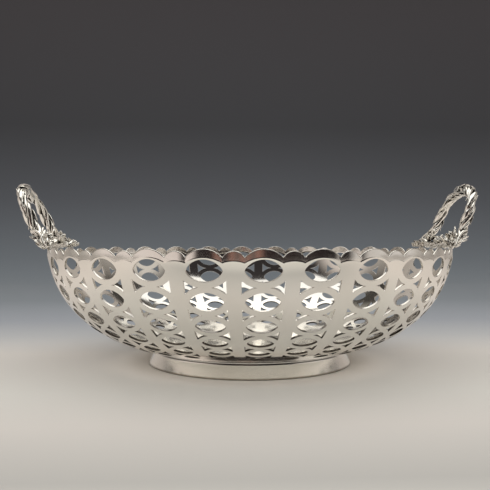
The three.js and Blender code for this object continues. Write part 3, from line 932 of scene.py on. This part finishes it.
def spur(place, across, tilt):
    """A bud in the place of a packed spur, and a smaller one beyond it."""
    builder = MeshBuilder()
    add_bud(builder, place, across, tilt, SPUR_LENGTH)
    add_bud(builder, place, across * 1.75, -tilt * 1.6, SPUR_LENGTH * 0.72)
    return builder


def leaf_group(place, name):
    """The leaves that stand for a packed leaf, with the foliage round them at a limb's foot."""
    builder = MeshBuilder()
    for leaf in WRAPPED_LEAVES[name]:
        add_wrapped_leaf(builder, place, *leaf)
    if name.startswith("foot_leaf"):
        add_foot_foliage(builder, place, -1 if name.endswith("front") else 1)
    return builder


def finish_piece(piece, node, turned):
    """Rides a piece on the body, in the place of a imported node. The left handle is turned round."""
    if turned:
        piece.data.transform(TURN_ROUND)
        piece.data.update()
    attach(piece, "root")
    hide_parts(node)


def handle(side, material):
    """All the cast pieces of one handle."""
    place = handle_place(side)
    builders = {
        "first_branch": strand(place, 0),
        "second_branch": strand(place, 1),
        "rim_branch": rim_branch(place),
        "spur_front": spur(place, -SPUR_PLACE, 0.25),
        "spur_back": spur(place, SPUR_PLACE, -0.15),
    }
    builders.update((name, leaf_group(place, name)) for name in WRAPPED_LEAVES)
    for name, builder in builders.items():
        piece = builder.build(f"{side}_handle_{name}_cast", [material])
        finish_piece(piece, f"{side}_handle_{name}", side == "left")


# Materials

# Heights between which the painted shade on the openings' edges fades out
PAINTED_SHADE_TOP = (0.026, 0.042)
# Height up to which the foot's colours are laid, and the colours by height, dark as painted shade along
# the lower edge and in the joint at the top
FOOT_TOP = 0.010
FOOT_JOINT = underside_at(FOOT_RADIUS - FOOT_SPREAD) - FOOT_COLLAR
FOOT_TONES_AND_PAINTED_SHADE = [
    (0.0, (0.10, 0.09, 0.07)),
    (FOOT_EDGE, (0.30, 0.27, 0.22)),
    (FOOT_EDGE * 2.4, (0.90, 0.88, 0.83)),
    (FOOT_JOINT - 0.0005, (0.92, 0.90, 0.86)),
    (FOOT_JOINT, (0.10, 0.09, 0.08)),
    (FOOT_JOINT + 0.0003, (0.12, 0.11, 0.10)),
    (FOOT_JOINT + 0.0006, (0.70, 0.68, 0.63)),
]
# Distance within which walls shut a place in, and colours from shut in to open
RECESS_REACH = 0.004
CAST_TONES = [(0.32, (0.040, 0.033, 0.026)), (0.46, (0.38, 0.35, 0.30)), (0.61, (0.95, 0.93, 0.87))]


def fill(tree, socket, value):
    """Sets an input to a value, or links it to another node's output."""
    if isinstance(value, bpy.types.NodeSocket):
        tree.links.new(value, socket)
    else:
        socket.default_value = value


def fill_inputs(tree, made, **inputs):
    for name, value in inputs.items():
        fill(tree, made.inputs[name.replace("_", " ")], value)


def node(tree, kind, **inputs):
    made = tree.nodes.new(kind)
    fill_inputs(tree, made, **inputs)
    return made


def new_material(name):
    """A material, its nodes, and the place of a point on the object."""
    material = bpy.data.materials.new(name)
    material.use_nodes = True
    tree = material.node_tree
    return material, tree, node(tree, "ShaderNodeTexCoord").outputs["Object"]


def set_look(tree, **inputs):
    fill_inputs(tree, tree.nodes["Principled BSDF"], **inputs)


def noise(tree, place, **inputs):
    return node(tree, "ShaderNodeTexNoise", Vector=place, **inputs).outputs["Fac"]


def bump(tree, height, **inputs):
    return node(tree, "ShaderNodeBump", Height=height, **inputs).outputs["Normal"]


def remapped(tree, value, **ends):
    return node(tree, "ShaderNodeMapRange", Value=value, **ends).outputs["Result"]


def maths(tree, operation, *values, kind="ShaderNodeMath"):
    made = tree.nodes.new(kind)
    made.operation = operation
    for socket, value in zip(made.inputs, values):
        fill(tree, socket, value)
    return made.outputs


def xyz(tree, place):
    return node(tree, "ShaderNodeSeparateXYZ", Vector=place).outputs


def in_metal(tree):
    """1 for a ray that metal mirrors, otherwise 0."""
    return node(tree, "ShaderNodeLightPath").outputs["Is Glossy Ray"]


def ramp(tree, value, stops, low=0.0, high=1.0):
    """Colours laid along a value, at stops that run from low to high."""
    share = remapped(tree, value, From_Min=low, From_Max=high)
    made = node(tree, "ShaderNodeValToRGB", Fac=share)
    elements = made.color_ramp.elements
    while len(elements) < len(stops):
        elements.new(0.5)
    for element, (at, colour) in zip(elements, stops):
        element.position = (at - low) / (high - low)
        element.color = (*colour, 1)
    return made.outputs["Color"]


def blend(tree, share, first, second):
    """Two colours or colour outputs mixed by a share."""
    made = tree.nodes.new("ShaderNodeMix")
    made.data_type = "RGBA"
    fill(tree, made.inputs["Factor"], share)
    for socket, value in zip(made.inputs[6:8], (first, second)):
        fill(tree, socket, (*value, 1) if isinstance(value, tuple) else value)
    return made.outputs[2]


def step(tree, value, low, high):
    """A soft step from 0 at low to 1 at high."""
    made = node(tree, "ShaderNodeMapRange", Value=value, From_Min=low, From_Max=high)
    made.interpolation_type = "SMOOTHSTEP"
    return made.outputs["Result"]


def polished_silver():
    """Raised sheet: mirror bright, with the soft waviness of hand raising and fine wear."""
    material, tree, place = new_material("polished_silver")
    tone = noise(tree, place, Scale=28.0, Detail=3.0)
    wear = noise(tree, place, Scale=420.0, Detail=4.0, Roughness=0.7)
    wave = noise(tree, place, Scale=45.0, Detail=1.0)
    set_look(
        tree,
        Metallic=1.0,
        Base_Color=ramp(tree, tone, [(0.35, (0.85, 0.825, 0.77)), (0.65, (0.90, 0.88, 0.835))]),
        Roughness=remapped(tree, wear, To_Min=0.07, To_Max=0.15),
        Normal=bump(tree, wave, Strength=1.0, Distance=0.00007),
    )
    return material


def foot_silver():
    """The polished foot, with painted shade in the joint at its top and along its lower edge."""
    material, tree, place = new_material("foot_silver")
    wear = noise(tree, place, Scale=120.0, Detail=3.0)
    set_look(
        tree,
        Metallic=1.0,
        # painted shade: dark bands at the lower edge and at the joint under the bowl
        Base_Color=ramp(tree, xyz(tree, place)["Z"], FOOT_TONES_AND_PAINTED_SHADE, 0.0, FOOT_TOP),
        Roughness=remapped(tree, wear, To_Min=0.12, To_Max=0.26),
    )
    return material


def filed_silver():
    """The filed edges of the openings and the rim: duller than the polished sheet, and darkened low
    down by painted shade."""
    material, tree, place = new_material("filed_silver")
    marks = noise(tree, place, Scale=700.0, Detail=3.0)
    clean = ramp(tree, marks, [(0.35, (0.68, 0.65, 0.60)), (0.65, (0.84, 0.81, 0.76))])
    # painted shade: the edges turn dark low down and clear between these heights
    height = step(tree, xyz(tree, place)["Z"], *PAINTED_SHADE_TOP)
    set_look(
        tree,
        Metallic=1.0,
        Base_Color=blend(tree, height, (0.11, 0.095, 0.08), clean),
        Roughness=remapped(tree, marks, To_Min=0.16, To_Max=0.34),
    )
    return material


def cast_silver():
    """Cast and chased silver: bright on the high places and blackened in the recesses."""
    material, tree, place = new_material("cast_silver")
    shadow = node(tree, "ShaderNodeAmbientOcclusion", Distance=RECESS_REACH)
    shadow.samples = 12
    stain = remapped(tree, noise(tree, place, Scale=500.0, Detail=3.0), To_Min=-0.12, To_Max=0.12)
    openness = maths(tree, "ADD", shadow.outputs["AO"], stain)["Value"]
    grain = noise(tree, place, Scale=1300.0, Detail=3.0)
    set_look(
        tree,
        Metallic=1.0,
        Base_Color=ramp(tree, openness, CAST_TONES),
        Roughness=remapped(tree, openness, From_Min=0.3, From_Max=0.7, To_Min=0.45, To_Max=0.14),
        Normal=bump(tree, grain, Strength=0.6, Distance=0.00012),
    )
    return material


# Distance behind the bowl's axis, plus height, and colour of the table there
BACKGROUND = [
    (-0.50, (0.90, 0.87, 0.80)),
    (-0.30, (0.80, 0.775, 0.72)),
    (-0.24, (0.66, 0.64, 0.60)),
    (-0.215, (0.50, 0.485, 0.46)),
    (-0.15, (0.672, 0.635, 0.598)),
    (-0.09, (0.712, 0.692, 0.652)),
    (0.03, (0.705, 0.67, 0.632)),
    (0.115, (0.526, 0.532, 0.542)),
    (0.22, (0.387, 0.411, 0.454)),
    (0.45, (0.287, 0.32, 0.356)),
    (0.76, (0.314, 0.353, 0.393)),
    (0.97, (0.218, 0.242, 0.269)),
    (1.23, (0.128, 0.135, 0.151)),
    (1.45, (0.077, 0.077, 0.084)),
    (1.73, (0.089, 0.082, 0.088)),
]
# Colour of the table's far sides, beyond the frame, and where it begins and is full: for the camera,
# and for what the metal mirrors
SIDE_TABLE = (0.86, 0.79, 0.74)
SIDE_REACH_SEEN = (0.62, 0.95)
SIDE_REACH_MIRRORED = (0.09, 0.26)
# Colour round the foot, where the silver throws light, the shares by which its oval is squeezed along
# X and Y, and where it fades out
LIT_TABLE = (0.93, 0.88, 0.825)
LIT_OVAL = (1.0, 1.15)
LIT_REACH = (0.072, 0.101)


def table_material():
    """A pale matt table whose colour falls off into a dark grey behind the bowl."""
    material, tree, place = new_material("pale_table")
    parts = xyz(tree, place)
    behind = maths(tree, "ADD", parts["Y"], parts["Z"])["Value"]
    middle = ramp(tree, behind, BACKGROUND, BACKGROUND[0][0], BACKGROUND[-1][0])
    aside = maths(tree, "ABSOLUTE", parts["X"])["Value"]
    seen, mirrored = [step(tree, aside, *reach) for reach in (SIDE_REACH_SEEN, SIDE_REACH_MIRRORED)]
    mirrored = maths(tree, "MULTIPLY", mirrored, in_metal(tree))["Value"]
    table = blend(tree, maths(tree, "MAXIMUM", seen, mirrored)["Value"], middle, SIDE_TABLE)
    oval = maths(tree, "MULTIPLY", place, (*LIT_OVAL, 0.0), kind="ShaderNodeVectorMath")["Vector"]
    from_axis = maths(tree, "LENGTH", oval, kind="ShaderNodeVectorMath")["Value"]
    table = blend(tree, step(tree, from_axis, *LIT_REACH), LIT_TABLE, table)
    set_look(tree, Base_Color=table, Roughness=0.6, Specular_IOR_Level=0.2)
    return material


def table_and_sweep():
    """The table, which runs back into a tall curved sweep."""
    half_width = 2.2
    front, bend, radius, top = -0.62, 0.75, 0.35, 1.1
    line = [(front, 0.0), (-0.2, 0.0), (0.2, 0.0), (bend, 0.0)]
    for angle in np.linspace(0, math.pi / 2, 17)[1:]:
        line.append((bend + radius * math.sin(angle), radius * (1 - math.cos(angle))))
    line.append((bend + radius, top))
    builder = MeshBuilder()
    starts = [builder.add([(-half_width, y, z), (half_width, y, z)]) for y, z in line]
    builder.strips(starts, 2, False)
    piece = builder.build("table_sweep", [table_material()])


# Lights and camera

# Colour of the room in front of the bowl, by how far a direction points to the right
ROOM_FRONT = [
    (-1.0, (0.76, 0.68, 0.64)),
    (-0.62, (0.70, 0.61, 0.57)),
    (-0.54, (0.030, 0.024, 0.024)),
    (-0.32, (0.025, 0.018, 0.018)),
    (-0.22, (0.26, 0.14, 0.11)),
    (-0.12, (0.12, 0.085, 0.075)),
    (-0.02, (0.27, 0.14, 0.11)),
    (0.10, (0.030, 0.020, 0.020)),
    (0.74, (0.015, 0.012, 0.012)),
    (0.84, (0.60, 0.56, 0.53)),
    (1.0, (0.68, 0.64, 0.61)),
]
# The same higher up, where the room in front is dark
ROOM_FRONT_HIGH = [
    (-1.0, (0.80, 0.72, 0.66)),
    (-0.82, (0.74, 0.66, 0.60)),
    (-0.68, (0.030, 0.026, 0.026)),
    (0.68, (0.030, 0.026, 0.026)),
    (0.82, (0.64, 0.60, 0.55)),
    (1.0, (0.68, 0.64, 0.58)),
]
# Behind the bowl, a cream ceiling between dark corners, the same to the left and the right
ROOM_BACK_HALF = [
    (0.25, (0.50, 0.475, 0.42)),
    (0.45, (0.05, 0.045, 0.04)),
    (0.75, (0.05, 0.045, 0.04)),
    (1.0, (0.50, 0.46, 0.42)),
]
ROOM_BACK = [(-at, colour) for at, colour in ROOM_BACK_HALF[::-1]] + ROOM_BACK_HALF
# How far up a direction points where the front becomes the high one, and how far back where it gives
# way to the back
FRONT_RISE = (0.06, 0.20)
BACK_REACH = (-0.12, 0.20)
# Plain light of the room on matt surfaces
ROOM_LIGHT = (0.40, 0.395, 0.385)
WARM_WHITE = (1, 0.985, 0.95)


def add_softbox(name, place, target, size, power, mirrored):
    """A lamp with a flat face. The metal mirrors it where mirrored is true."""
    light = bpy.data.lights.new(name, "AREA")
    light.shape = "RECTANGLE"
    light.size, light.size_y = size
    light.energy = power
    light.color = WARM_WHITE
    lamp = bpy.data.objects.new(name, light)
    lamp.visible_camera = False
    lamp.visible_glossy = mirrored
    aim(lamp, place, Vector(target) - Vector(place))


def aim(thing, place, ahead):
    """Puts a lamp or a camera in its place, facing a direction, and into the scene."""
    thing.location = place
    thing.rotation_mode = "QUATERNION"
    thing.rotation_quaternion = ahead.to_track_quat("-Z", "Y")
    bpy.context.scene.collection.objects.link(thing)


def lights():
    """A softbox over the bowl, and a fill in front for the matt surfaces alone."""
    add_softbox("overhead_softbox", place=(0, 0.04, 0.75), target=(0, 0.04, 0), size=(1.16, 0.76),
                power=3.3, mirrored=True)
    add_softbox("front_fill", place=(0, -1.1, 0.42), target=(0, 0, 0.02), size=(1.4, 0.5),
                power=8.2, mirrored=False)
    bpy.context.scene.world = room()


def room():
    """Pale side walls and a dim front with a warm patch, as metal sees them. Matt surfaces get the
    plain light of the room."""
    world = bpy.data.worlds.new("room")
    world.use_nodes = True
    tree = world.node_tree
    parts = xyz(tree, node(tree, "ShaderNodeTexCoord").outputs["Generated"])
    walls = (ROOM_FRONT, ROOM_FRONT_HIGH, ROOM_BACK)
    low, high, back = [ramp(tree, parts["X"], stops, -1.0, 1.0) for stops in walls]
    front = blend(tree, step(tree, parts["Z"], *FRONT_RISE), low, high)
    whole = blend(tree, step(tree, parts["Y"], *BACK_REACH), front, back)
    fill_inputs(tree, tree.nodes["Background"], Color=blend(tree, in_metal(tree), ROOM_LIGHT, whole))
    return world


def camera():
    """The camera as it stood for the photograph."""
    data = bpy.data.cameras.new("photo_camera")
    data.lens = CAMERA_LENS
    data.sensor_width = 36
    data.clip_start = 0.01
    data.clip_end = 20
    eye = bpy.data.objects.new("photo_camera", data)
    ahead = Vector((math.sin(CAMERA_TURN), math.cos(CAMERA_TURN), -math.tan(CAMERA_DIP)))
    aim(eye, CAMERA_PLACE, ahead)
    bpy.context.scene.camera = eye


def build():
    cast_metal = cast_silver()
    bowl = pierced_bowl([polished_silver(), filed_silver()])
    finish_piece(bowl, "pierced_bowl", False)
    finish_piece(foot_ring(foot_silver()), "foot_ring", False)
    for side in ("right", "left"):
        handle(side, cast_metal)
    table_and_sweep()
    lights()
    camera()
    bpy.context.scene.view_settings.view_transform = "Standard"


build()
